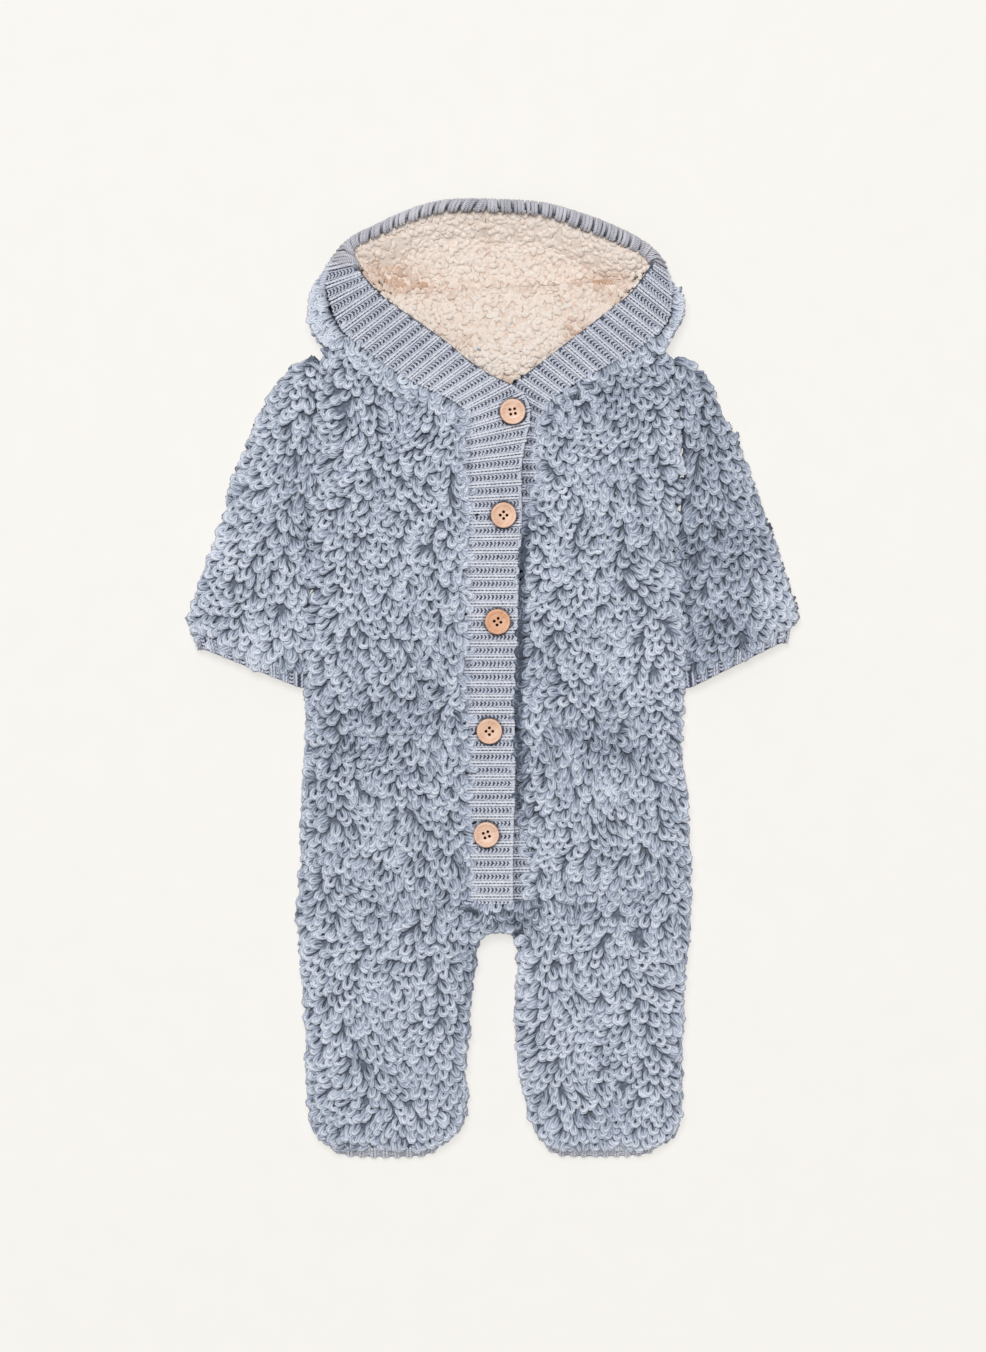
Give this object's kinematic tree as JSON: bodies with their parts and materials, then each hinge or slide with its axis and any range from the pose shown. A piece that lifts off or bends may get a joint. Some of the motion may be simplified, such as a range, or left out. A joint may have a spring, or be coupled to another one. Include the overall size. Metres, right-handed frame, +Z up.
{
  "type": "knitted pramsuit",
  "caption": "Baby's hooded pramsuit in loop-stitch knit, with closed feet, a rib border and a buttoned front, laid flat on its back.",
  "frame": {"origin": "on the surface that the garment lies on, under the middle of its box", "axes": "+Z up from the surface, +Y towards the hood, -Y towards the feet, -X to the wearer's right"},
  "size_m": [0.4273, 0.6709, 0.0373],
  "materials": {
    "loop_knit": "dusty blue-grey loop-stitch knit in plied yarn",
    "rib_knit": "dusty blue-grey rib knit",
    "sherpa": "cream curled pile lining",
    "button_wood": "light peach wood, satin"
  },
  "bodies": {
    "root": {"back_panel": "loop_knit", "front_right": "loop_knit", "front_left": "loop_knit", "sleeve_right": "loop_knit", "sleeve_left": "loop_knit", "cuff_right": "rib_knit", "cuff_left": "rib_knit", "band_right": "rib_knit", "band_left": "rib_knit", "hood_right": "loop_knit", "hood_left": "loop_knit", "hood_lining_crown": "sherpa", "hood_lining_nape": "sherpa", "sole_right": "rib_knit", "sole_left": "rib_knit", "button_1": "button_wood", "button_2": "button_wood", "button_3": "button_wood", "button_4": "button_wood", "button_5": "button_wood"}
  },
  "joints": []
}
